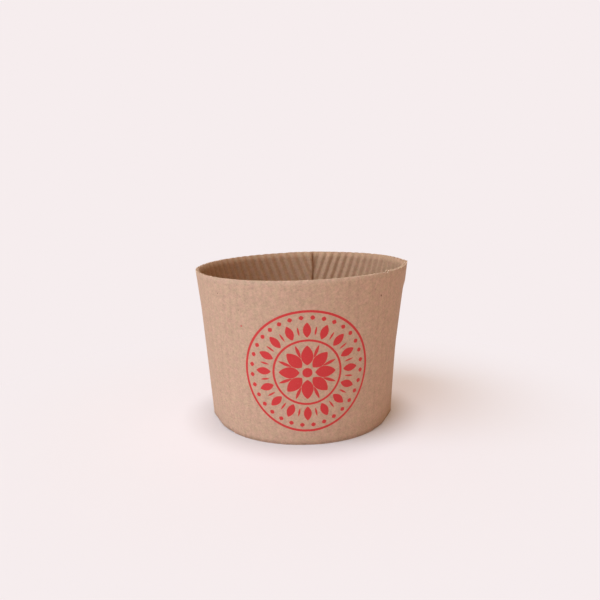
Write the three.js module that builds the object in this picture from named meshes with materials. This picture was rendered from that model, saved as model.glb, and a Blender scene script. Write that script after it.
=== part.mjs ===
// A kraft coffee cup sleeve, opened into its tapered ring.
// The board is single faced: a flat liner outside, and a fluted paper glued to the
// inside of it, whose tunnels are open at the top and bottom edges. The blank was
// folded flat along two creases and closed by a glued lap, which lies at the back.
// Units are millimetres. +Z is up, the front faces -Y, the creases lie at the ends of
// the X axis, and the bottom edge stands on Z = 0.

import * as THREE from 'three';

// The open ring, measured on the outside of its round panels. The top edge isn't cut
// quite level: it is this much higher at the +X side and lower at the -X side.
const HEIGHT = 58.2;
const TOP_RADIUS = 39.1;
const BOTTOM_RADIUS = 32.4;
const TOP_EDGE_SLOPE = 0.8;

// The board
const LINER = 0.3;
const MEDIUM = 0.25;
const FLUTE_HEIGHT = 0.75;
const FLUTE_PITCH = 3.2;

// The two side creases: how far each stands out of the round at either edge, and how
// soon the bottom's larger stand-off fades on the way up
const CREASE_TOP = 0.4;
const CREASE_BOTTOM = 2.2;
const CREASE_FADE = 1.8;

// The glued lap: how many flutes it covers, the crushed height of its outer layer's
// flutes, and the length over which that layer climbs onto the layer below
const LAP_FLUTES = 3;
const LAP_FLUTE_HEIGHT = 0.45;
const LAP_RAMP = 7;

// A tunnel's corners on the liner stop short of the glue line by this share of a flute.
const GLUE_SHARE = 0.12;

// Facets: points along one wave of the medium and along the liner over it, and rows up
// the wall
const WAVE_POINTS = 6;
const LINER_POINTS = 2;
const ROWS = 3;

const KRAFT = 0xbe9780;
const KRAFT_ROUGHNESS = 0.9;

// The ring is divided into whole flutes, an even number of them, so that each crease
// and each end of the lap falls on a glue line between two flutes.
const MEAN_RADIUS = (TOP_RADIUS + BOTTOM_RADIUS) / 2;
const FLUTES = 2 * Math.round((Math.PI * MEAN_RADIUS) / FLUTE_PITCH);
const FLUTE_ANGLE = (2 * Math.PI) / FLUTES;
const LAP_START = Math.round(FLUTES / 4 - LAP_FLUTES / 2);
const LAP_END = LAP_START + LAP_FLUTES;
const RAMP_FLUTES = LAP_RAMP / FLUTE_PITCH;

// In the lap the outer layer rests with its crushed crests on the inner layer's liner.
const LAP_RISE = LINER + MEDIUM + LAP_FLUTE_HEIGHT;

// A layer of board is given by two functions of the place round the ring, counted in
// flutes from the +X crease: the depth of its outer face, and the height of its flutes.
// Depth is measured outwards from the outside of the ring.
const innerLayer = { face: () => 0, flute: () => FLUTE_HEIGHT };

const outerLayer = {
  face: (place) => THREE.MathUtils.lerp(0, LAP_RISE, climb(place)),
  flute: (place) => THREE.MathUtils.lerp(FLUTE_HEIGHT, LAP_FLUTE_HEIGHT, climb(place)),
};

function climb(place) {
  return THREE.MathUtils.smoothstep(place, LAP_START - RAMP_FLUTES, LAP_START);
}

// How far the medium hangs from the liner, from 0 on a glue line to 1 on a crest
function hang(place) {
  return (1 - Math.cos(2 * Math.PI * place)) / 2;
}

// The depth of the liner's two sides, and of the medium's two sides
function linerOutside(layer, place) {
  return layer.face(place);
}

function linerInside(layer, place) {
  return layer.face(place) - LINER;
}

function mediumOutside(layer, place) {
  return linerInside(layer, place) - layer.flute(place) * hang(place);
}

function mediumInside(layer, place) {
  return mediumOutside(layer, place) - MEDIUM;
}

// Points of the section, drawn on a ring of the top edge's radius
function ringPoints(layer, side, places) {
  return places.map((place) => {
    const angle = place * FLUTE_ANGLE;
    const radius = TOP_RADIUS + side(layer, place);
    return new THREE.Vector2(radius * Math.cos(angle), radius * Math.sin(angle));
  });
}

function stretch(from, to, pointsPerFlute) {
  const count = Math.round((to - from) * pointsPerFlute);
  return Array.from({ length: count + 1 }, (_, i) => from + i / pointsPerFlute);
}

// The outside climbs to the lap and drops off the lap's cut edge.
function outerContour() {
  return [
    ...ringPoints(outerLayer, linerOutside, stretch(0, LAP_END, LINER_POINTS)),
    ...ringPoints(innerLayer, linerOutside, stretch(LAP_END, FLUTES, LINER_POINTS)),
  ].slice(0, -1);
}

// The inside is all waves, and the cut end of the inner layer is a step in it.
function innerContour() {
  return [
    ...ringPoints(outerLayer, mediumInside, stretch(0, LAP_START, WAVE_POINTS)),
    ...ringPoints(innerLayer, mediumInside, stretch(LAP_START, FLUTES, WAVE_POINTS)),
  ].slice(0, -1);
}

// The hollow between the liner and one wave of the medium
function tunnel(layer, flute) {
  const onLiner = [flute + 1 - GLUE_SHARE, flute + GLUE_SHARE];
  const onMedium = stretch(flute, flute + 1, WAVE_POINTS).slice(1, -1);
  return new THREE.Path([
    ...ringPoints(layer, linerInside, onLiner),
    ...ringPoints(layer, mediumOutside, onMedium),
  ]);
}

// The hollow inside the lap, at one glue line of the outer layer, between the medium
// there and the inner layer's liner below it
function lapChannel(line) {
  const reach = 0.5 - GLUE_SHARE;
  const onMedium = stretch(line - 0.5, line + 0.5, WAVE_POINTS).slice(1, -1);
  return new THREE.Path([
    ...ringPoints(innerLayer, linerOutside, [line + reach, line - reach]),
    ...ringPoints(outerLayer, mediumInside, onMedium),
  ]);
}

function boardSection() {
  const section = new THREE.Shape(outerContour());
  section.holes.push(new THREE.Path(innerContour()));
  for (let flute = 0; flute < LAP_END; flute += 1) {
    section.holes.push(tunnel(outerLayer, flute));
  }
  for (let flute = LAP_START; flute < FLUTES; flute += 1) {
    section.holes.push(tunnel(innerLayer, flute));
  }
  for (let line = LAP_START + 1; line < LAP_END; line += 1) {
    section.holes.push(lapChannel(line));
  }
  return section;
}

// The outside of the ring at one height, from 0 at the bottom edge to 1 at the top: a
// circle, from which two straight tangents run out to each crease.
function outlineRadius(angle, height) {
  const round = THREE.MathUtils.lerp(BOTTOM_RADIUS, TOP_RADIUS, height);
  const fade = Math.pow(1 - height, CREASE_FADE);
  const standOff = THREE.MathUtils.lerp(CREASE_TOP, CREASE_BOTTOM, fade);
  const tangentAngle = Math.acos(round / (round + standOff));
  const fromCrease = Math.abs(Math.asin(Math.sin(angle)));
  return round / Math.cos(Math.max(0, tangentAngle - fromCrease));
}

// The section is extruded straight up by 1, and each of its points then moves in or out
// to the outline at its own height, and up to its real height.
function sleeveGeometry() {
  const geometry = new THREE.ExtrudeGeometry(boardSection(), {
    depth: 1,
    steps: ROWS,
    bevelEnabled: false,
  });
  const { position } = geometry.attributes;
  for (let i = 0; i < position.count; i += 1) {
    const x = position.getX(i);
    const y = position.getY(i);
    const height = position.getZ(i);
    const angle = Math.atan2(y, x);
    const radius = Math.hypot(x, y) - TOP_RADIUS + outlineRadius(angle, height);
    const wall = HEIGHT + TOP_EDGE_SLOPE * Math.cos(angle);
    position.setXYZ(i, radius * Math.cos(angle), radius * Math.sin(angle), height * wall);
  }
  geometry.computeVertexNormals();
  return geometry;
}

// The lap makes the ring deeper at the back, so the ring is moved forward by half of
// that, and the origin is in the middle of the sleeve's outside.
function sleeve() {
  const kraftBoard = new THREE.MeshStandardMaterial({
    color: KRAFT,
    roughness: KRAFT_ROUGHNESS,
    metalness: 0,
  });
  const mesh = new THREE.Mesh(sleeveGeometry(), kraftBoard);
  mesh.name = 'sleeve';
  mesh.position.y = -LAP_RISE / 2;
  return mesh;
}

const model = new THREE.Group();
model.add(sleeve());

export default model;
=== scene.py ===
# %% [markdown]
# A kraft coffee cup sleeve. The real one is a curved strip of single-faced corrugated
# board: a flat outer paper, the liner, with a waved paper, the medium, glued behind it.
# The strip is printed, cut by a steel die, creased at both sides, and glued to itself in
# a lap at the back. This lesson follows that order: both papers are made flat, in
# millimetres, and are then wrapped into the tapered ring. The frame, which is loaded
# first, holds that ring as a plain solid, and nothing here changes its size.

# %% Frame and libraries
import math
import random

import bmesh
import bpy
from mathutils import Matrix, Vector

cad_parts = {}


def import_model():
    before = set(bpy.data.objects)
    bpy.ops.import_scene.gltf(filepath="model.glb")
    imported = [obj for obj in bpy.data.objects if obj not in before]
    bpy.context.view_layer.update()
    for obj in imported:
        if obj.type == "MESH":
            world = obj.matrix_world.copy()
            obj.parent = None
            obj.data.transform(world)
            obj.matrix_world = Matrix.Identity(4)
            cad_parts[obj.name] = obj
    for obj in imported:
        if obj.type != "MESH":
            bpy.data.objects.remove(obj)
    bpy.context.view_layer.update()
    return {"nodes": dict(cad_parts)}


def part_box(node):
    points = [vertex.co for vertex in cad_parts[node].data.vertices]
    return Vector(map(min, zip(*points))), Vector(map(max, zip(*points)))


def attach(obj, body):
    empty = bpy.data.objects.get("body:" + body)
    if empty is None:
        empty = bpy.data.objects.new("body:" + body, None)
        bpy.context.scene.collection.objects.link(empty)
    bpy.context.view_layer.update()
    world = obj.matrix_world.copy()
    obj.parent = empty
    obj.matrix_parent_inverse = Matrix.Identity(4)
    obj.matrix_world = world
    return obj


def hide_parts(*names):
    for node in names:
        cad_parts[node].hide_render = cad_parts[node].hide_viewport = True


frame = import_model()
MM = 0.001
low, high = (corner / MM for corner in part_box("sleeve"))
print("sleeve, mm:", [round(side, 2) for side in high - low])

# %% [markdown]
# The frame gives the ring's sizes. Its lowest and highest corners hold the outside, and
# the vertices of its bottom edge give the small end. The lap makes the sleeve deeper at
# the back, so the ring's own middle lies half a lap in front of the origin. The top edge
# isn't cut quite level: it is this much higher at the right side and lower at the left.

# %% Sizes of the ring
LAP_RISE = 1.0
RING_Y = -LAP_RISE / 2
TOP_EDGE_SLOPE = 0.8
HEIGHT = high.z - TOP_EDGE_SLOPE
TOP_RADIUS = RING_Y - low.y
AT_THE_BOTTOM = 0.01
corners = [v.co / MM for v in frame["nodes"]["sleeve"].data.vertices]
BOTTOM_RADIUS = RING_Y - min(co.y for co in corners if co.z < AT_THE_BOTTOM)
print("height", round(HEIGHT, 2), "radii", round(TOP_RADIUS, 2), round(BOTTOM_RADIUS, 2))

# %% [markdown]
# The board's layers are named here in real millimetres. In the lap, where one end of the
# strip lies on the other, the flutes on top are pressed to what the lap's rise leaves.

# %% Sizes of the board
LINER = 0.3
MEDIUM = 0.25
FLUTE_HEIGHT = 0.75
FLUTE_PITCH = 3.2
LAP_FLUTES = 3
LAP_FLUTE_HEIGHT = LAP_RISE - LINER - MEDIUM
print("board", LINER + MEDIUM + FLUTE_HEIGHT, "flutes in the lap", round(LAP_FLUTE_HEIGHT, 2))

# %% [markdown]
# A cone opens out flat into a sector of a ring. Its outer and inner radius follow from
# the two ends of the sleeve and the slant between them. A point of the flat blank is
# given by its turn from the middle of the front, in degrees round the finished ring, and
# by its height, from 0 at the bottom edge to 1 at the top. The lap reaches a little past
# half a turn on both sides.

# %% The flat blank
SLANT = math.hypot(HEIGHT, TOP_RADIUS - BOTTOM_RADIUS)
BLANK_TOP = SLANT * TOP_RADIUS / (TOP_RADIUS - BOTTOM_RADIUS)
BLANK_BOTTOM = BLANK_TOP - SLANT
BLANK_DEGREES = 360 * TOP_RADIUS / BLANK_TOP
FLUTES_ROUND = 2 * round(math.pi * (TOP_RADIUS + BOTTOM_RADIUS) / 2 / FLUTE_PITCH)
LAP_HALF = LAP_FLUTES / 2 * 360 / FLUTES_ROUND
LAP_START_TURN = 180 - LAP_HALF
END_TURN = 180 + LAP_HALF


def to_flat(turn, height):
    """Where a point of the ring lies on the flat blank, from the middle of the front."""
    angle = math.radians(turn * BLANK_DEGREES / 360)
    radius = BLANK_BOTTOM + SLANT * height
    return radius * math.sin(angle), radius * math.cos(angle) - BLANK_BOTTOM


def from_flat(x, y):
    """The turn and height of a point of the flat blank."""
    y += BLANK_BOTTOM
    turn = math.degrees(math.atan2(x, y)) * 360 / BLANK_DEGREES
    return turn, (math.hypot(x, y) - BLANK_BOTTOM) / SLANT


print("blank radii", round(BLANK_BOTTOM, 1), round(BLANK_TOP, 1))
print("sector", round(BLANK_DEGREES, 1), "degrees,", FLUTES_ROUND, "flutes round")

# %% [markdown]
# At the back the right end of the strip climbs over the left one by the thickness of the
# crushed lap. Board can't jump, so the climb is a smooth ramp of a few flutes.

# %% The climb onto the lap
LAP_RAMP = 11.0


def smooth(start, end, value):
    """Goes from 0 at the start to 1 at the end, without a corner at either."""
    share = min(1, max(0, (value - start) / (end - start)))
    return share * share * (3 - 2 * share)


def climb(turn):
    return smooth(LAP_START_TURN - LAP_RAMP, LAP_START_TURN, turn)


print("lap, degrees:", round(LAP_START_TURN, 1), "to", round(END_TURN, 1))

# %% [markdown]
# Each panel lies round the cone and leaves it in a straight tangent towards the crease,
# because board bends gently but folds sharply. Both creases stand out most at the
# bottom, where the ring is tightest. The left one flattens evenly on the way up. The
# right one flattens sooner, and flares out again under the top edge.

# %% The creases
CREASE_BOTTOM = 2.2
CREASE_ROUND = 0.009
LEFT_FADE = 1.06
LEFT_TOP = 0.2
LEFT_TOP_POWER = 4
RIGHT_FADE = 2.1
RIGHT_FLARE = 1.0
RIGHT_FLARE_START = 0.78
RIGHT_FLARE_END = 0.88


def crease_stand_off(turn, height):
    """How far the crease on this side stands out of the round at this height."""
    if turn % 360 > 180:
        return CREASE_BOTTOM * (1 - height) ** LEFT_FADE + LEFT_TOP * height**LEFT_TOP_POWER
    flare = RIGHT_FLARE * smooth(RIGHT_FLARE_START, RIGHT_FLARE_END, height)
    return CREASE_BOTTOM * (1 - height) ** RIGHT_FADE + flare


def outline_radius(turn, height):
    """The outside of the ring, with its round part and the tangents to the creases."""
    height = min(1, max(0, height))
    round_part = BOTTOM_RADIUS + (TOP_RADIUS - BOTTOM_RADIUS) * height
    stand_off = crease_stand_off(turn, height)
    tangent = math.acos(round_part / (round_part + stand_off)) + CREASE_ROUND
    from_crease = abs(math.asin(math.cos(math.radians(turn))))
    return round_part / math.cos(max(0, tangent - math.hypot(from_crease, CREASE_ROUND)))


for side, turn in (("left", -90), ("right", 90)):
    stand_offs = [round(crease_stand_off(turn, share / 4), 2) for share in range(5)]
    print(side, "crease stands out, from bottom to top:", stand_offs)

# %% [markdown]
# One function wraps the strip: it takes a turn, a height and a depth under the liner's
# face, and gives the place in the frame. A bend modifier could roll up a strip too, but
# not with creases and a lap. Both papers use this function, so they always stay together.


# %% Wrapping
def wrap(turn, height, depth):
    """The place in the frame, in millimetres, of a point this deep under the liner's face."""
    angle = math.radians(turn)
    radius = outline_radius(turn, height) - depth + LAP_RISE * climb(turn)
    wall = HEIGHT + TOP_EDGE_SLOPE * math.sin(angle)
    return Vector((radius * math.sin(angle), RING_Y - radius * math.cos(angle), height * wall))


print("top of the front, mm:", [round(value, 2) for value in wrap(0, 1, 0)])

# %% [markdown]
# The die leaves its own marks on the cut edges. Over each tunnel the paper gives way a
# little, which makes a scalloped line. Nicks show where bridges held the blank in its
# sheet, and the top edge has one torn notch with a tuft beside it. The marks depend on
# nothing but the place, so that both papers get the same ones.

# %% Marks of the die
SCALLOP_TOP = 0.2
SCALLOP_BOTTOM = 0.1
SCALLOP_POWER = 4
BOTTOM_SHIFT = 50
NICKS_BOTTOM = ((-49.1, 0.32), (51.5, 0.38))
NICK_RISE = 0.7
NICK_TAIL_START = 2
NICK_TAIL_END = 16
NOTCH_TURN = 48.0
NOTCH_DEPTH = 0.65
NOTCH_WIDTH = 0.5
TUFT_TURN = 49.8
TUFT_HEIGHT = 0.4
TUFT_WIDTH = 0.7
random.seed(7)
scallops = [random.uniform(0.1, 1.0) for _ in range(4 * FLUTES_ROUND)]


def bump(value, centre, width):
    return math.exp(-(((value - centre) / width) ** 2))


def scallop(x, shift):
    """From 0 to 1: how much the edge is worn away over this flute's tunnel."""
    flute = x / FLUTE_PITCH
    depth = scallops[(math.floor(flute) + shift) % len(scallops)]
    return depth * math.sin(math.pi * (flute % 1)) ** SCALLOP_POWER


def top_edge(turn, x):
    """How much lower than a clean cut the top edge is here."""
    notch = NOTCH_DEPTH * bump(turn, NOTCH_TURN, NOTCH_WIDTH)
    tuft = TUFT_HEIGHT * bump(turn, TUFT_TURN, TUFT_WIDTH)
    return SCALLOP_TOP * scallop(x, 0) + notch - tuft


def bottom_edge(turn, x):
    """How much higher than a clean cut the bottom edge is here."""
    lift = SCALLOP_BOTTOM * scallop(x, BOTTOM_SHIFT)
    for nick, rise in NICKS_BOTTOM:
        away = (turn - nick) * (1 if nick > 0 else -1)
        if away > 0:
            tail = 1 - smooth(NICK_TAIL_START, NICK_TAIL_END, away)
            lift += rise * smooth(0, NICK_RISE, away) * tail
    return lift


print(len(scallops), "scallops, deepest notch", round(top_edge(NOTCH_TURN, 0), 2), "mm")

# %% [markdown]
# A mark on an edge would leave a kink if only the last row of vertices moved. Here the
# whole column moves with it, most at the edge and less and less into the face.

# %% Fading the marks
BOTTOM_MARK_POWER = 6
TOP_MARK_POWER = 12


def trimmed(turn, height, x):
    """The height share of a point after the die's marks, which fade into the face."""
    low_share = bottom_edge(turn, x) / HEIGHT * (1 - height) ** BOTTOM_MARK_POWER
    high_share = top_edge(turn, x) / HEIGHT * height**TOP_MARK_POWER
    return height + low_share - high_share


print("under the notch, height 0.9 becomes", round(trimmed(NOTCH_TURN, 0.9, 0), 4))

# %% [markdown]
# Both papers need the same steps: a grid from bmesh, a move of every vertex, and a wall
# thickness. The flat place of each vertex is kept as an attribute, in millimetres, so
# that the print and the paper's grain can follow the sheet round the ring. The Solidify
# modifier gives the wall, with the second material inside and the third on its rim.


# %% Paper from a grid
def flat_grid(columns, rows):
    """A grid over the unit square, for a sheet that is then placed on the blank."""
    bm = bmesh.new()
    bmesh.ops.create_grid(bm, x_segments=columns, y_segments=rows, size=0.5)
    bmesh.ops.translate(bm, verts=bm.verts, vec=(0.5, 0.5, 0))
    return bm


def keep_flat_place(bm):
    return bm.verts.layers.float_vector.new("flat_mm")


def give_thickness(piece, thickness, offset):
    wall = piece.modifiers.new("paper", "SOLIDIFY")
    wall.thickness = thickness * MM
    wall.offset = offset
    wall.material_offset = 1
    wall.material_offset_rim = 2
    wall.use_even_offset = True
    graph = bpy.context.evaluated_depsgraph_get()
    solid = bpy.data.meshes.new_from_object(piece.evaluated_get(graph))
    piece.modifiers.clear()
    piece.data = solid
    return solid


def finish_sheet(bm, name, thickness, offset, materials):
    """Turns a wrapped sheet into a solid paper with a cut edge of its own material."""
    bmesh.ops.scale(bm, verts=bm.verts, vec=(MM, MM, MM))
    bmesh.ops.recalc_face_normals(bm, faces=bm.faces)
    mesh = bpy.data.meshes.new(name)
    bm.to_mesh(mesh)
    bm.free()
    piece = bpy.data.objects.new(name, mesh)
    bpy.context.scene.collection.objects.link(piece)
    for material in materials:
        mesh.materials.append(material)
    solid = give_thickness(piece, thickness, offset)
    solid.name = name
    for vertex in solid.vertices:
        vertex.co.z = max(0, vertex.co.z)
    for polygon in solid.polygons:
        polygon.use_smooth = polygon.material_index < 2
    print(name, "triangles", sum(len(p.vertices) - 2 for p in solid.polygons))
    return piece


# %% [markdown]
# The liner is a plain grid, laid on the blank so that its columns run from edge to edge
# and one of them lies on each crease. Over the glue lines the paper is drawn in by a few
# hundredths of a millimetre, which gives the face its faint washboard. A bump could show
# that as well, but the mesh is kept on its own too, so the washboard is real.

# %% The liner
LINER_COLUMNS = 10 * (FLUTES_ROUND + LAP_FLUTES)
LINER_ROWS = 32
WASHBOARD = 0.02


def hang(x):
    """0 where the medium is glued to the liner, 1 on the crest of a flute."""
    return (1 - math.cos(2 * math.pi * x / FLUTE_PITCH)) / 2


def build_liner(materials):
    bm = flat_grid(LINER_COLUMNS, LINER_ROWS)
    flat = keep_flat_place(bm)
    for vert in bm.verts:
        turn = END_TURN * (2 * vert.co.x - 1)
        height = vert.co.y
        x, y = to_flat(turn, height)
        vert[flat] = (x, y, 0)
        dip = WASHBOARD * (1 - hang(x))
        vert.co = wrap(turn, trimmed(turn, height, x), dip)
    return finish_sheet(bm, "liner", LINER, -1, materials)


print("liner grid", LINER_COLUMNS, "by", LINER_ROWS)

# %% [markdown]
# The flutes are as high as the board allows, but not everywhere: the crease wheels press
# them down along a narrow line, and the glue press does so in the lap.

# %% Height of the flutes
CREASE_CRUSH = 0.45
CREASE_CRUSH_TURN = 1.6


def flute_height(turn):
    """Full flutes, pressed down by the crease wheels and by the lap's glue press."""
    from_crease = abs(abs(turn) - 90)
    crush = 1 - CREASE_CRUSH * bump(from_crease, 0, CREASE_CRUSH_TURN)
    lap = climb(turn)
    return FLUTE_HEIGHT * crush * (1 - lap) + LAP_FLUTE_HEIGHT * lap


for turn in (0, 90, 180):
    print("flutes at", turn, "degrees:", round(flute_height(turn), 2), "mm")

# %% [markdown]
# The medium is waved before it is glued, and its flutes run straight up the flat board,
# not towards the cone's tip. So its grid lies square on the blank, twelve columns to a
# flute, with its rows bent to the blank's arcs. The die's end cuts slant across the
# flutes there, and bisect_plane makes them. Wrapped round, the flutes stand upright at
# the front and lean more and more towards the lap, as in a real sleeve. The medium bites
# a hundredth of a millimetre into the liner, so that no gap shows along a glue line.

# %% The medium
FLUTE_COLUMNS = 12
MEDIUM_ROWS = 24
GLUE_BITE = 0.01


def cut_end(bm, side, angle):
    """Cuts the flat sheet off along the slanting end of the blank."""
    bmesh.ops.bisect_plane(
        bm,
        geom=bm.verts[:] + bm.edges[:] + bm.faces[:],
        dist=1e-4,
        plane_co=(0, 0, 0),
        plane_no=(side * math.cos(angle), -math.sin(angle), 0),
        clear_outer=True,
    )


def build_medium(materials):
    end = math.radians(END_TURN * BLANK_DEGREES / 360)
    flutes_each_side = math.ceil(BLANK_TOP * math.sin(end) / FLUTE_PITCH)
    half_width = flutes_each_side * FLUTE_PITCH
    bm = flat_grid(2 * flutes_each_side * FLUTE_COLUMNS, MEDIUM_ROWS)
    for vert in bm.verts:
        x = half_width * (2 * vert.co.x - 1)
        radius = BLANK_BOTTOM + SLANT * vert.co.y
        vert.co = (x, math.sqrt(radius**2 - x**2), 0)
    cut_end(bm, 1, end)
    cut_end(bm, -1, end)
    flat = keep_flat_place(bm)
    for vert in bm.verts:
        x, y = vert.co.x, vert.co.y - BLANK_BOTTOM
        turn, height = from_flat(x, y)
        vert[flat] = (x, y, 0)
        depth = LINER + MEDIUM / 2 - GLUE_BITE + flute_height(turn) * hang(x)
        vert.co = wrap(turn, trimmed(turn, height, x), depth)
    return finish_sheet(bm, "medium", MEDIUM, 0, materials)


print("medium grid", FLUTE_COLUMNS, "columns to a flute by", MEDIUM_ROWS)

# %% [markdown]
# Paper has no texture of its own in Blender: its look is a chain of shader nodes. These
# helpers add one node each and return its output, so that a chain reads like a formula.
# Each input may be a plain number or the output of another node.


# %% Node helpers
def plug(tree, value, socket):
    """Links an output to this input, or sets the input to a plain value."""
    if isinstance(value, bpy.types.NodeSocket):
        tree.links.new(value, socket)
    elif value is not None:
        socket.default_value = value


def calc(tree, operation, a, b=None, c=None, clamp=False):
    node = tree.nodes.new("ShaderNodeMath")
    node.operation = operation
    node.use_clamp = clamp
    for socket, value in zip(node.inputs, (a, b, c)):
        plug(tree, value, socket)
    return node.outputs[0]


def ramp(tree, value, start, end, low_value=0.0, high_value=1.0, kind="SMOOTHSTEP"):
    """Goes from the low value at the start to the high value at the end."""
    node = tree.nodes.new("ShaderNodeMapRange")
    node.interpolation_type = kind
    for socket, number in zip(node.inputs, (value, start, end, low_value, high_value)):
        plug(tree, number, socket)
    return node.outputs[0]


def blend(tree, share, a, b, kind="MIX"):
    node = tree.nodes.new("ShaderNodeMix")
    node.data_type = "RGBA"
    node.blend_type = kind
    plug(tree, share, node.inputs[0])
    plug(tree, a, node.inputs[6])
    plug(tree, b, node.inputs[7])
    return node.outputs[2]


def placed_group(tree, group):
    node = tree.nodes.new("ShaderNodeGroup")
    node.node_tree = group
    return node


def group_inputs(tree, floats, colours=()):
    for kind, values in (("NodeSocketFloat", floats), ("NodeSocketColor", dict(colours))):
        for name, value in values.items():
            socket = tree.interface.new_socket(name, in_out="INPUT", socket_type=kind)
            socket.default_value = value


# %% [markdown]
# Patterns on the sheet read its flat place, in millimetres, and so they run on over the
# creases and round the back without a seam. A Mapping node of the texture kind turns a
# pattern before it stretches it, which keeps long fibres straight at any angle.


# %% Patterns on the sheet
def sheet_place(tree):
    """The flat place of the surface, in millimetres, and its two parts."""
    node = tree.nodes.new("ShaderNodeAttribute")
    node.attribute_name = "flat_mm"
    parts = tree.nodes.new("ShaderNodeSeparateXYZ")
    tree.links.new(node.outputs["Vector"], parts.inputs[0])
    return node.outputs["Vector"], parts.outputs[0], parts.outputs[1]


def stretched(tree, vector, scale, turn=0.0, move=(0, 0, 0)):
    """Turns a pattern, and packs it this many times closer along its own axes."""
    node = tree.nodes.new("ShaderNodeMapping")
    node.vector_type = "TEXTURE"
    plug(tree, vector, node.inputs["Vector"])
    node.inputs["Scale"].default_value = [1 / value for value in scale]
    node.inputs["Rotation"].default_value = (0, 0, math.radians(turn))
    node.inputs["Location"].default_value = move
    return node.outputs[0]


def noise(tree, vector, scale=1.0, detail=2.0, roughness=0.5):
    node = tree.nodes.new("ShaderNodeTexNoise")
    plug(tree, vector, node.inputs["Vector"])
    node.inputs["Scale"].default_value = scale
    node.inputs["Detail"].default_value = detail
    node.inputs["Roughness"].default_value = roughness
    return node.outputs[0]


# %% [markdown]
# Colours are written as they look on a screen, from 0 to 255, and turned into the
# shader's own linear numbers. Kraft is unbleached pulp: its brown drifts a little between
# pinker and yellower patches, with pale fibres and dark crumbs of bark in it.


# %% Colours of kraft
def srgb(red, green, blue):
    def linear(value):
        value /= 255
        return value / 12.92 if value <= 0.04045 else ((value + 0.055) / 1.055) ** 2.4

    return (linear(red), linear(green), linear(blue), 1.0)


WHITE = (1.0, 1.0, 1.0, 1.0)
PINK_PULP = (1.03, 0.985, 1.0, 1.0)
YELLOW_PULP = (0.975, 1.01, 0.955, 1.0)
FACE_KRAFT = srgb(196, 157, 133)
BARE_KRAFT = srgb(184, 143, 115)
CUT_KRAFT = srgb(212, 180, 154)
BARK = srgb(104, 68, 47)
PALE_FIBRE = srgb(226, 190, 160)
print("face kraft:", [round(value, 3) for value in FACE_KRAFT[:3]])

# %% [markdown]
# Close up, kraft is a felt of long fibres that lie in two main directions, with curled
# ones between them, and it is cloudy at the scale of a centimetre. Each pattern has its
# packing along its own axes, its turn in degrees and its shift. Their sum makes the paper
# lighter or darker than its tint, and the fibres alone also raise its surface.

# %% Clouds and felt
CLOUD_PACKING = 0.32
CURL_PACKING = 1.15
CURL = ((1.0, 0.85, 1), 12)
FELT_ALONG = ((0.65, 2.3, 1), 24)
FELT_ACROSS = ((2.2, 0.75, 1), 41, (7, 3, 0))


def around_zero(tree, value, strength):
    return calc(tree, "MULTIPLY", calc(tree, "SUBTRACT", value, 0.5), strength)


def felted(tree, place, given):
    """How much lighter than its tint the paper is here, and how high its fibres stand."""
    cloud = noise(tree, place, CLOUD_PACKING, detail=4.0, roughness=0.6)
    curl_place = stretched(tree, place, *CURL)
    curl = noise(tree, curl_place, CURL_PACKING, detail=4.0, roughness=0.75)
    along = noise(tree, stretched(tree, place, *FELT_ALONG), detail=3.0, roughness=0.7)
    across = noise(tree, stretched(tree, place, *FELT_ACROSS), detail=3.0, roughness=0.7)
    felt = calc(tree, "MULTIPLY", calc(tree, "ADD", along, across), 0.5)
    total = around_zero(tree, cloud, given["Cloud"])
    total = calc(tree, "ADD", total, around_zero(tree, curl, given["Felt"]))
    total = calc(tree, "ADD", total, around_zero(tree, felt, given["Felt"]))
    return total, calc(tree, "ADD", felt, curl)


# %% [markdown]
# Where the medium is glued on, the liner shows a slightly darker line. It is partly glue
# that shows through, and partly painted shade in the shallow groove of the washboard.
# The lines come and go over the face, because glue never takes evenly.

# %% Glue and painted groove shade
GLUE_AND_SHADE_POWER = 3.0
GLUE_AND_SHADE_PATCHES = (0.12, 0.03, 1)
GLUE_AND_SHADE_CUT = (0.35, 0.65)


# A darker stripe on each glue line, where the washboard's groove lies: partly glue that shows
# through, partly painted shade of the groove.
def glue_and_groove_shade(tree, place, x, strength):
    wave = calc(tree, "COSINE", calc(tree, "MULTIPLY", x, 2 * math.pi / FLUTE_PITCH))
    line = calc(tree, "POWER", calc(tree, "MULTIPLY_ADD", wave, 0.5, 0.5), GLUE_AND_SHADE_POWER)
    patchy = ramp(tree, noise(tree, stretched(tree, place, GLUE_AND_SHADE_PATCHES)), *GLUE_AND_SHADE_CUT)
    return calc(tree, "MULTIPLY", calc(tree, "MULTIPLY", line, patchy), strength)


# %% [markdown]
# Single fibres and crumbs lie on top of the felt: pale dust, pale and dark hairs, and
# specks of bark. Hairs are a noise that is packed about ten times closer across than
# along. Each noise is cut off high, between two values, so that only its ridges are
# left. Specks sit in the cells of a Voronoi pattern, of which only a few get one.

# %% Hairs and specks
DUST_PACKING = 1.9
DUST = ((1.3, 0.8, 1), 33, (3, 31, 0))
DUST_CUT = (0.66, 0.8)
DUST_COVER = 0.45
PALE_HAIR = ((0.8, 8.0, 1), 37, (5, 17, 0))
PALE_HAIR_CUT = (0.6, 0.72)
PALE_HAIR_COVER = 0.5
DARK_HAIR = ((8.5, 0.9, 1), 28, (9, 2, 0))
DARK_HAIR_CUT = (0.62, 0.74)
DARK_HAIR_COVER = 0.3
SPECK_CELLS = ((0.3, 0.42, 1), 20)
SPECK_CUT = (0.6, 0.72)
SPECK_EDGE = (0.03, 0.1)
SPECK_COVER = 0.4


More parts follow.
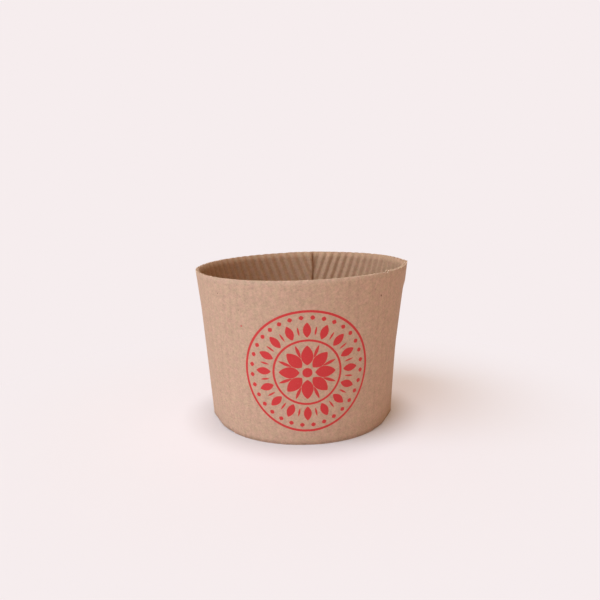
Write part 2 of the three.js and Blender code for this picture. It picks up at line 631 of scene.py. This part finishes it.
def with_fibres(tree, place, colour, given):
    """The paper's colour with dust, hairs and specks laid over it."""
    dust = noise(tree, stretched(tree, place, *DUST), DUST_PACKING, detail=2.0, roughness=0.6)
    dusty = ramp(tree, dust, *DUST_CUT, high_value=DUST_COVER)
    colour = blend(tree, dusty, colour, PALE_FIBRE)

    ridges = noise(tree, stretched(tree, place, *PALE_HAIR), detail=2.0, roughness=0.6)
    hair = calc(tree, "MULTIPLY", ramp(tree, ridges, *PALE_HAIR_CUT), given["Felt"])
    colour = blend(tree, calc(tree, "MULTIPLY", hair, PALE_HAIR_COVER), colour, PALE_FIBRE)
    ridges = noise(tree, stretched(tree, place, *DARK_HAIR), detail=2.0, roughness=0.6)
    hair = calc(tree, "MULTIPLY", ramp(tree, ridges, *DARK_HAIR_CUT), given["Felt"])
    colour = blend(tree, calc(tree, "MULTIPLY", hair, DARK_HAIR_COVER), colour, BARK)

    cells = tree.nodes.new("ShaderNodeTexVoronoi")
    plug(tree, stretched(tree, place, *SPECK_CELLS), cells.inputs["Vector"])
    cells.inputs["Scale"].default_value = 1.0
    near = ramp(tree, cells.outputs["Distance"], *SPECK_EDGE, 1.0, 0.0)
    few = ramp(tree, cells.outputs["Color"], *SPECK_CUT)
    speck = calc(tree, "MULTIPLY", calc(tree, "MULTIPLY", near, few), given["Specks"])
    return blend(tree, calc(tree, "MULTIPLY", speck, SPECK_COVER), colour, BARK)


# %% [markdown]
# One node group puts all this together, because every paper of the sleeve is the same
# kraft. Each material that uses it sets its own tint and strengths on the group's inputs.

# %% Kraft paper group
PULP_PACKING = 0.55
PULP_DRIFT = ((1, 0.8, 1), 0, (40, 12, 0))
PULP_CUT = (0.38, 0.62)


def kraft_group():
    tree = bpy.data.node_groups.new("kraft paper", "ShaderNodeTree")
    strengths = {"Cloud": 0.5, "Felt": 0.5, "Hue": 1.0, "Specks": 1.0, "Glue lines": 0.0}
    group_inputs(tree, strengths, {"Tint": FACE_KRAFT})
    tree.interface.new_socket("Colour", in_out="OUTPUT", socket_type="NodeSocketColor")
    tree.interface.new_socket("Height", in_out="OUTPUT", socket_type="NodeSocketFloat")
    given = tree.nodes.new("NodeGroupInput").outputs
    result = tree.nodes.new("NodeGroupOutput").inputs
    place, x, _ = sheet_place(tree)

    lighter, height = felted(tree, place, given)
    # The darker glue-line stripes are partly glue and partly painted shade in the washboard's
    # grooves.
    darker = glue_and_groove_shade(tree, place, x, given["Glue lines"])
    lit = tree.nodes.new("ShaderNodeVectorMath")
    lit.operation = "SCALE"
    plug(tree, given["Tint"], lit.inputs[0])
    factor = calc(tree, "SUBTRACT", calc(tree, "ADD", lighter, 1.0), darker)
    plug(tree, factor, lit.inputs["Scale"])

    drift_place = stretched(tree, place, *PULP_DRIFT)
    drift = noise(tree, drift_place, PULP_PACKING, detail=4.0, roughness=0.7)
    pulp = blend(tree, ramp(tree, drift, *PULP_CUT), PINK_PULP, YELLOW_PULP)
    pulp = blend(tree, given["Hue"], WHITE, pulp)
    colour = blend(tree, 1.0, lit.outputs[0], pulp, "MULTIPLY")
    plug(tree, with_fibres(tree, place, colour, given), result["Colour"])
    plug(tree, height, result["Height"])
    return tree


kraft = kraft_group()
print("kraft paper:", len(kraft.nodes), "nodes")

# %% [markdown]
# The print is one red ink, a plain rosette, drawn by nodes in millimetres from its own
# centre. Its parts are rings of petals. A ring folds the angle into one petal, and
# compares the distance from the petal's middle line with a half width that swells and
# shrinks along the petal. Values above 0 are inside the ink.

# %% Ring of petals
PETAL_SWELL = 0.75


def petal_group():
    tree = bpy.data.node_groups.new("petal ring", "ShaderNodeTree")
    sizes = {"Petals": 8, "Inner": 2, "Outer": 9, "Half width": 2, "Turn": 0}
    group_inputs(tree, {"Radius": 0, "Angle": 0, **sizes})
    tree.interface.new_socket("Inside", in_out="OUTPUT", socket_type="NodeSocketFloat")
    given = tree.nodes.new("NodeGroupInput").outputs
    result = tree.nodes.new("NodeGroupOutput").inputs

    step = calc(tree, "DIVIDE", 2 * math.pi, given["Petals"])
    turned = calc(tree, "ADD", given["Angle"], calc(tree, "MULTIPLY", given["Turn"], step))
    half = calc(tree, "MULTIPLY", step, 0.5)
    folded = calc(tree, "WRAP", turned, half, calc(tree, "MULTIPLY", half, -1.0))
    across = calc(tree, "MULTIPLY", given["Radius"], calc(tree, "SINE", folded))
    sideways = calc(tree, "ABSOLUTE", across)

    length = calc(tree, "SUBTRACT", given["Outer"], given["Inner"])
    along = calc(tree, "SUBTRACT", given["Radius"], given["Inner"])
    share = calc(tree, "DIVIDE", along, length, clamp=True)
    arch = calc(tree, "SINE", calc(tree, "MULTIPLY", share, math.pi))
    swell = calc(tree, "POWER", arch, PETAL_SWELL)
    width = calc(tree, "MULTIPLY", swell, given["Half width"])

    before = calc(tree, "SUBTRACT", given["Inner"], given["Radius"])
    after = calc(tree, "SUBTRACT", given["Radius"], given["Outer"])
    past = calc(tree, "MAXIMUM", calc(tree, "MAXIMUM", before, after), 0.0)
    inside = calc(tree, "SUBTRACT", calc(tree, "SUBTRACT", width, sideways), past)
    plug(tree, inside, result["Inside"])
    return tree


petals = petal_group()
print("petal ring:", len(petals.nodes), "nodes")

# %% [markdown]
# The paper also carries a few single round marks: one stray dot of ink from the press,
# and three larger crumbs of bark. Each is given by its turn, its height and its size.

# %% Single marks
STRAY_INK = ((-32.7, 42.3, 0.28),)
BARK_MARKS = ((-47.4, 52.7, 0.22), (-33.4, 47.8, 0.16), (44.9, 50.4, 0.34))


def marks_inside(tree, place, marks):
    """Above 0 inside any of the round marks."""
    inside = -1.0
    for turn, height, size in marks:
        gap = tree.nodes.new("ShaderNodeVectorMath")
        gap.operation = "DISTANCE"
        plug(tree, place, gap.inputs[0])
        gap.inputs[1].default_value = (*to_flat(turn, height / HEIGHT), 0)
        within = calc(tree, "SUBTRACT", size, gap.outputs["Value"])
        inside = calc(tree, "MAXIMUM", inside, within)
    return inside


print(len(STRAY_INK), "stray dot and", len(BARK_MARKS), "crumbs of bark")

# %% [markdown]
# The rosette is eight petals with eight slim leaves between them, two more rings of
# sixteen, a ring of small dots, and two hair lines. The largest of their values decides,
# so they all join into one shape. A little noise on it gives the soft, uneven edge that
# ink has on rough paper.

# %% Printed rosette
PRINT_X = 1.7
PRINT_Y = 26.9
PETAL_RINGS = (
    # petals, inner radius, outer radius, half width, turn
    (8, 2.6, 9.6, 2.05, 0.0),
    (8, 5.6, 10.4, 0.55, 0.5),
    (16, 12.4, 17.6, 1.35, 0.0),
    (16, 13.2, 16.4, 0.34, 0.5),
    (32, 18.5, 20.1, 0.8, 0.5),
)
HAIR_LINES = ((11.4, 0.38), (21.4, 0.42))
CENTRE_DOT = 1.7
INK_BLEED = 0.32
INK_BLEED_PACKING = 3.2
INK_EDGE = 0.08


def rosette_group():
    tree = bpy.data.node_groups.new("printed rosette", "ShaderNodeTree")
    tree.interface.new_socket("Ink", in_out="OUTPUT", socket_type="NodeSocketFloat")
    result = tree.nodes.new("NodeGroupOutput").inputs
    place, x, y = sheet_place(tree)
    from_x = calc(tree, "SUBTRACT", x, PRINT_X)
    from_y = calc(tree, "SUBTRACT", y, PRINT_Y)
    square_x = calc(tree, "MULTIPLY", from_x, from_x)
    square_y = calc(tree, "MULTIPLY", from_y, from_y)
    radius = calc(tree, "SQRT", calc(tree, "ADD", square_x, square_y))
    angle = calc(tree, "ARCTAN2", from_x, from_y)

    inside = calc(tree, "SUBTRACT", CENTRE_DOT, radius)
    for sizes in PETAL_RINGS:
        ring = placed_group(tree, petals)
        for socket, value in zip(ring.inputs, (radius, angle, *sizes)):
            plug(tree, value, socket)
        inside = calc(tree, "MAXIMUM", inside, ring.outputs[0])
    for line_radius, half_width in HAIR_LINES:
        gap = calc(tree, "ABSOLUTE", calc(tree, "SUBTRACT", radius, line_radius))
        inside = calc(tree, "MAXIMUM", inside, calc(tree, "SUBTRACT", half_width, gap))
    inside = calc(tree, "MAXIMUM", inside, marks_inside(tree, place, STRAY_INK))

    rough = noise(tree, place, INK_BLEED_PACKING, detail=3.0, roughness=0.7)
    inside = calc(tree, "ADD", inside, around_zero(tree, rough, INK_BLEED))
    plug(tree, ramp(tree, inside, -INK_EDGE, INK_EDGE), result["Ink"])
    return tree


rosette = rosette_group()
print("printed rosette:", len(rosette.nodes), "nodes")

# %% [markdown]
# A fold stretches the liner's outer fibres until some of them let go, so each crease
# shows as a thin, paler, broken line. On the flat blank both creases are straight lines
# that point at the cone's tip. The mask measures the distance from them in millimetres,
# and two noises fray the line and let it fade here and there.

# %% Worn crease
WEAR_SOFTNESS = 0.6
WEAR_FRAY = 1.6
FRAY = (2.2, 0.9, 1)
WEAR_PATCHES = ((0.1, 0.25, 1), 0, (5, 2, 0))
WEAR_CUT = (0.3, 0.7)
WEAR_LEAST = 0.35


def crease_group():
    tree = bpy.data.node_groups.new("worn crease", "ShaderNodeTree")
    tree.interface.new_socket("Worn", in_out="OUTPUT", socket_type="NodeSocketFloat")
    result = tree.nodes.new("NodeGroupOutput").inputs
    place, x, y = sheet_place(tree)
    angle = math.radians(90 * BLANK_DEGREES / 360)
    sideways = calc(tree, "MULTIPLY", calc(tree, "ABSOLUTE", x), math.cos(angle))
    upwards = calc(tree, "MULTIPLY", calc(tree, "ADD", y, BLANK_BOTTOM), math.sin(angle))
    gap = calc(tree, "ABSOLUTE", calc(tree, "SUBTRACT", sideways, upwards))

    rough = noise(tree, stretched(tree, place, FRAY), detail=4.0, roughness=0.75)
    frayed = calc(tree, "SUBTRACT", gap, calc(tree, "MULTIPLY", rough, WEAR_FRAY))
    near = ramp(tree, frayed, -WEAR_SOFTNESS, 0.0, 1.0, 0.0)
    patches = noise(tree, stretched(tree, place, *WEAR_PATCHES))
    fades = ramp(tree, patches, *WEAR_CUT, low_value=WEAR_LEAST)
    plug(tree, calc(tree, "MULTIPLY", near, fades), result["Worn"])
    return tree


crease = crease_group()
print("worn crease:", len(crease.nodes), "nodes")

# %% [markdown]
# Three finishes share one recipe: the kraft group gives the colour, its fibres drive a
# fine bump of a few hundredths of a millimetre, and the shader is dull with hardly any
# sheen. Only the tint, the roughness and the group's strengths differ.

# %% Paper material
PAPER_SHEEN = 0.25
FIBRE_RELIEF = 0.05


def paper_material(name, tint, roughness, relief, **strengths):
    material = bpy.data.materials.new(name)
    material.use_nodes = True
    tree = material.node_tree
    shader = tree.nodes["Principled BSDF"]
    shader.inputs["Roughness"].default_value = roughness
    shader.inputs["Specular IOR Level"].default_value = PAPER_SHEEN
    paper = placed_group(tree, kraft)
    paper.inputs["Tint"].default_value = tint
    for strength_name, value in strengths.items():
        paper.inputs[strength_name.replace("_", " ")].default_value = value
    raised = tree.nodes.new("ShaderNodeBump")
    raised.inputs["Strength"].default_value = relief
    raised.inputs["Distance"].default_value = FIBRE_RELIEF * MM
    tree.links.new(paper.outputs["Height"], raised.inputs["Height"])
    tree.links.new(raised.outputs[0], shader.inputs["Normal"])
    tree.links.new(paper.outputs["Colour"], shader.inputs["Base Color"])
    print("material", name)
    return material, tree, shader, paper.outputs["Colour"]


# %% [markdown]
# The printed face is the liner's outside. The worn creases and the bark lie over the
# kraft, and the ink over both. Ink on rough paper is thin in places, so its cover varies
# a little, and it is slightly smoother than the bare paper round it.

# %% The printed face
INK = srgb(204, 49, 51)
INK_THINNEST = 0.84
INK_THICKEST = 0.99
INK_PATCH_PACKING = 2.4
INK_PATCH_CUT = (0.25, 0.5)
CREASE_WEAR = 0.42
BARK_MARK_EDGE = 0.12
BARK_MARK_COVER = 0.8
PAPER_ROUGHNESS = 0.8
INK_ROUGHNESS = 0.62


def printed_face():
    # The glue-line strength darkens the face along the washboard's grooves: partly glue,
    # partly painted shade.
    strengths = {"Cloud": 0.34, "Felt": 0.7, "Glue_lines": 0.07}
    material, tree, shader, colour = paper_material(
        "kraft_printed", FACE_KRAFT, roughness=PAPER_ROUGHNESS, relief=0.6, **strengths
    )
    place, _, _ = sheet_place(tree)
    worn = placed_group(tree, crease).outputs["Worn"]
    colour = blend(tree, calc(tree, "MULTIPLY", worn, CREASE_WEAR), colour, PALE_FIBRE)
    crumbs = marks_inside(tree, place, BARK_MARKS)
    bark = ramp(tree, crumbs, -BARK_MARK_EDGE, BARK_MARK_EDGE, high_value=BARK_MARK_COVER)
    colour = blend(tree, bark, colour, BARK)

    ink = placed_group(tree, rosette).outputs["Ink"]
    uneven = noise(tree, place, INK_PATCH_PACKING, detail=4.0, roughness=0.7)
    cover = ramp(tree, uneven, *INK_PATCH_CUT, INK_THINNEST, INK_THICKEST)
    colour = blend(tree, calc(tree, "MULTIPLY", ink, cover), colour, INK)
    tree.links.new(colour, shader.inputs["Base Color"])
    smoother = ramp(tree, ink, 0.0, 1.0, PAPER_ROUGHNESS, INK_ROUGHNESS, "LINEAR")
    plug(tree, smoother, shader.inputs["Roughness"])
    return material


face = printed_face()

# %% [markdown]
# The bare kraft is the medium and the liner's inside, a duller and coarser paper. The
# cut edge is where the die sheared the fibres: paler, rough and quite without specks.

# %% Bare kraft and cut edge
coarse = {"Cloud": 0.35, "Felt": 0.6, "Specks": 0.6}
bare, *_ = paper_material("kraft_bare", BARE_KRAFT, roughness=0.86, relief=0.8, **coarse)
sheared = {"Cloud": 0.5, "Felt": 1.2, "Specks": 0.0}
edge, *_ = paper_material("kraft_cut_edge", CUT_KRAFT, roughness=0.9, relief=1.0, **sheared)

# %% [markdown]
# Now the two papers are made. Each gets its outer finish, its inner finish and the cut
# edge, in the order in which the Solidify modifier hands them out. Together they stand
# for the one solid of the frame and ride on its only body.

# %% The two papers
liner = build_liner([face, bare, edge])
medium = build_medium([bare, bare, edge])
for piece in (liner, medium):
    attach(piece, "root")
    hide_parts("sleeve")

# %% [markdown]
# The stage is a pale pink-white floor that runs into a backdrop of the same colour. It
# takes the sleeve's soft shadow near the sleeve, and farther out it shows its plain
# colour to the camera, so that no horizon can be seen.

# %% Floor
PAPER_WHITE = srgb(246, 237, 238)
FLOOR_RADIUS = 3.0
SHADOW_FADE_START = 0.05
SHADOW_FADE_END = 0.14


def floor_material():
    material = bpy.data.materials.new("floor")
    material.use_nodes = True
    tree = material.node_tree
    shader = tree.nodes["Principled BSDF"]
    shader.inputs["Base Color"].default_value = PAPER_WHITE
    shader.inputs["Roughness"].default_value = 1.0
    shader.inputs["Specular IOR Level"].default_value = 0.0
    plain = tree.nodes.new("ShaderNodeEmission")
    plain.inputs["Color"].default_value = PAPER_WHITE
    place = tree.nodes.new("ShaderNodeTexCoord")
    far = tree.nodes.new("ShaderNodeVectorMath")
    far.operation = "LENGTH"
    tree.links.new(place.outputs["Object"], far.inputs[0])
    share = ramp(tree, far.outputs["Value"], SHADOW_FADE_START, SHADOW_FADE_END)
    path = tree.nodes.new("ShaderNodeLightPath")
    seen = calc(tree, "MULTIPLY", share, path.outputs["Is Camera Ray"])
    mixed = tree.nodes.new("ShaderNodeMixShader")
    tree.links.new(seen, mixed.inputs[0])
    tree.links.new(shader.outputs[0], mixed.inputs[1])
    tree.links.new(plain.outputs[0], mixed.inputs[2])
    tree.links.new(mixed.outputs[0], tree.nodes["Material Output"].inputs["Surface"])
    return material


def floor():
    bm = bmesh.new()
    bmesh.ops.create_circle(bm, cap_ends=True, segments=96, radius=FLOOR_RADIUS)
    mesh = bpy.data.meshes.new("floor")
    bm.to_mesh(mesh)
    bm.free()
    mesh.materials.append(floor_material())
    piece = bpy.data.objects.new("floor", mesh)
    bpy.context.scene.collection.objects.link(piece)
    return piece


floor()
print("floor radius, m:", FLOOR_RADIUS)

# %% [markdown]
# The light is that of a room with a tall window at the front left. The world is the room:
# it fills the right side and the back with a warm light, and the camera sees it in the
# backdrop's colour.

# %% Room light
ROOM_LIGHT = (0.42, 0.32, 0.205, 1.0)


def world():
    sky = bpy.data.worlds.new("room")
    bpy.context.scene.world = sky
    sky.use_nodes = True
    tree = sky.node_tree
    fill = tree.nodes["Background"]
    fill.inputs["Color"].default_value = ROOM_LIGHT
    fill.inputs["Strength"].default_value = 1.0
    seen = tree.nodes.new("ShaderNodeBackground")
    seen.inputs["Color"].default_value = PAPER_WHITE
    mixed = tree.nodes.new("ShaderNodeMixShader")
    path = tree.nodes.new("ShaderNodeLightPath")
    tree.links.new(path.outputs["Is Camera Ray"], mixed.inputs[0])
    tree.links.new(fill.outputs[0], mixed.inputs[1])
    tree.links.new(seen.outputs[0], mixed.inputs[2])
    tree.links.new(mixed.outputs[0], tree.nodes["World Output"].inputs["Surface"])


world()
print("room light:", ROOM_LIGHT[:3])

# %% [markdown]
# The window's cool light falls off round the face, and a weak light from above brings
# the floor up to its written colour. Both are suns, which light near and far alike, with
# a wide angle for a soft shadow. A sun of strength pi gives a white surface that faces
# it the lamp's own colour, so with the room the window adds up to about 1.

# %% Window and ceiling
WINDOW_LIGHT = (0.505, 0.68, 0.84)
WINDOW_TURN = -52
WINDOW_ELEVATION = 30
WINDOW_SPREAD = 70
CEILING_LIGHT = (0.33, 0.33, 0.35)
CEILING_SPREAD = 18


def soft_sun(name, azimuth, elevation, spread, light_on_white):
    light = bpy.data.lights.new(name, "SUN")
    light.angle = math.radians(spread)
    light.energy = math.pi
    light.color = light_on_white
    holder = bpy.data.objects.new(name, light)
    holder.rotation_euler = (math.radians(90 - elevation), 0, math.radians(azimuth))
    bpy.context.scene.collection.objects.link(holder)
    print(name, "light:", light_on_white)


soft_sun("window", WINDOW_TURN, WINDOW_ELEVATION, WINDOW_SPREAD, WINDOW_LIGHT)
soft_sun("ceiling", 0, 90, CEILING_SPREAD, CEILING_LIGHT)

# %% [markdown]
# The camera was fitted to the sleeve's corners and edges in the photograph: its place,
# its dip and its slight roll, for a lens whose picture is 600 pixels wide. Standard view
# transform keeps the colours as they are written.

# %% Camera
FOCAL_PIXELS = 646.9
PICTURE_PIXELS = 600
CAMERA_PLACE = Vector((-0.44, -241.7, 90.89)) * MM
CAMERA_DIP = 10.892
CAMERA_ROLL = 0.759

lens = bpy.data.cameras.new("camera")
lens.sensor_width = 36
lens.lens = lens.sensor_width * FOCAL_PIXELS / PICTURE_PIXELS
lens.clip_start = 0.01
camera = bpy.data.objects.new("camera", lens)
camera.location = CAMERA_PLACE
camera.rotation_mode = "XYZ"
camera.rotation_euler = (math.radians(90 - CAMERA_DIP), 0, 0)
camera.rotation_euler.rotate_axis("Z", math.radians(-CAMERA_ROLL))
bpy.context.scene.collection.objects.link(camera)
bpy.context.scene.camera = camera
bpy.context.scene.view_settings.view_transform = "Standard"
print("lens", round(lens.lens, 1), "mm, camera at", [round(a, 3) for a in camera.location])
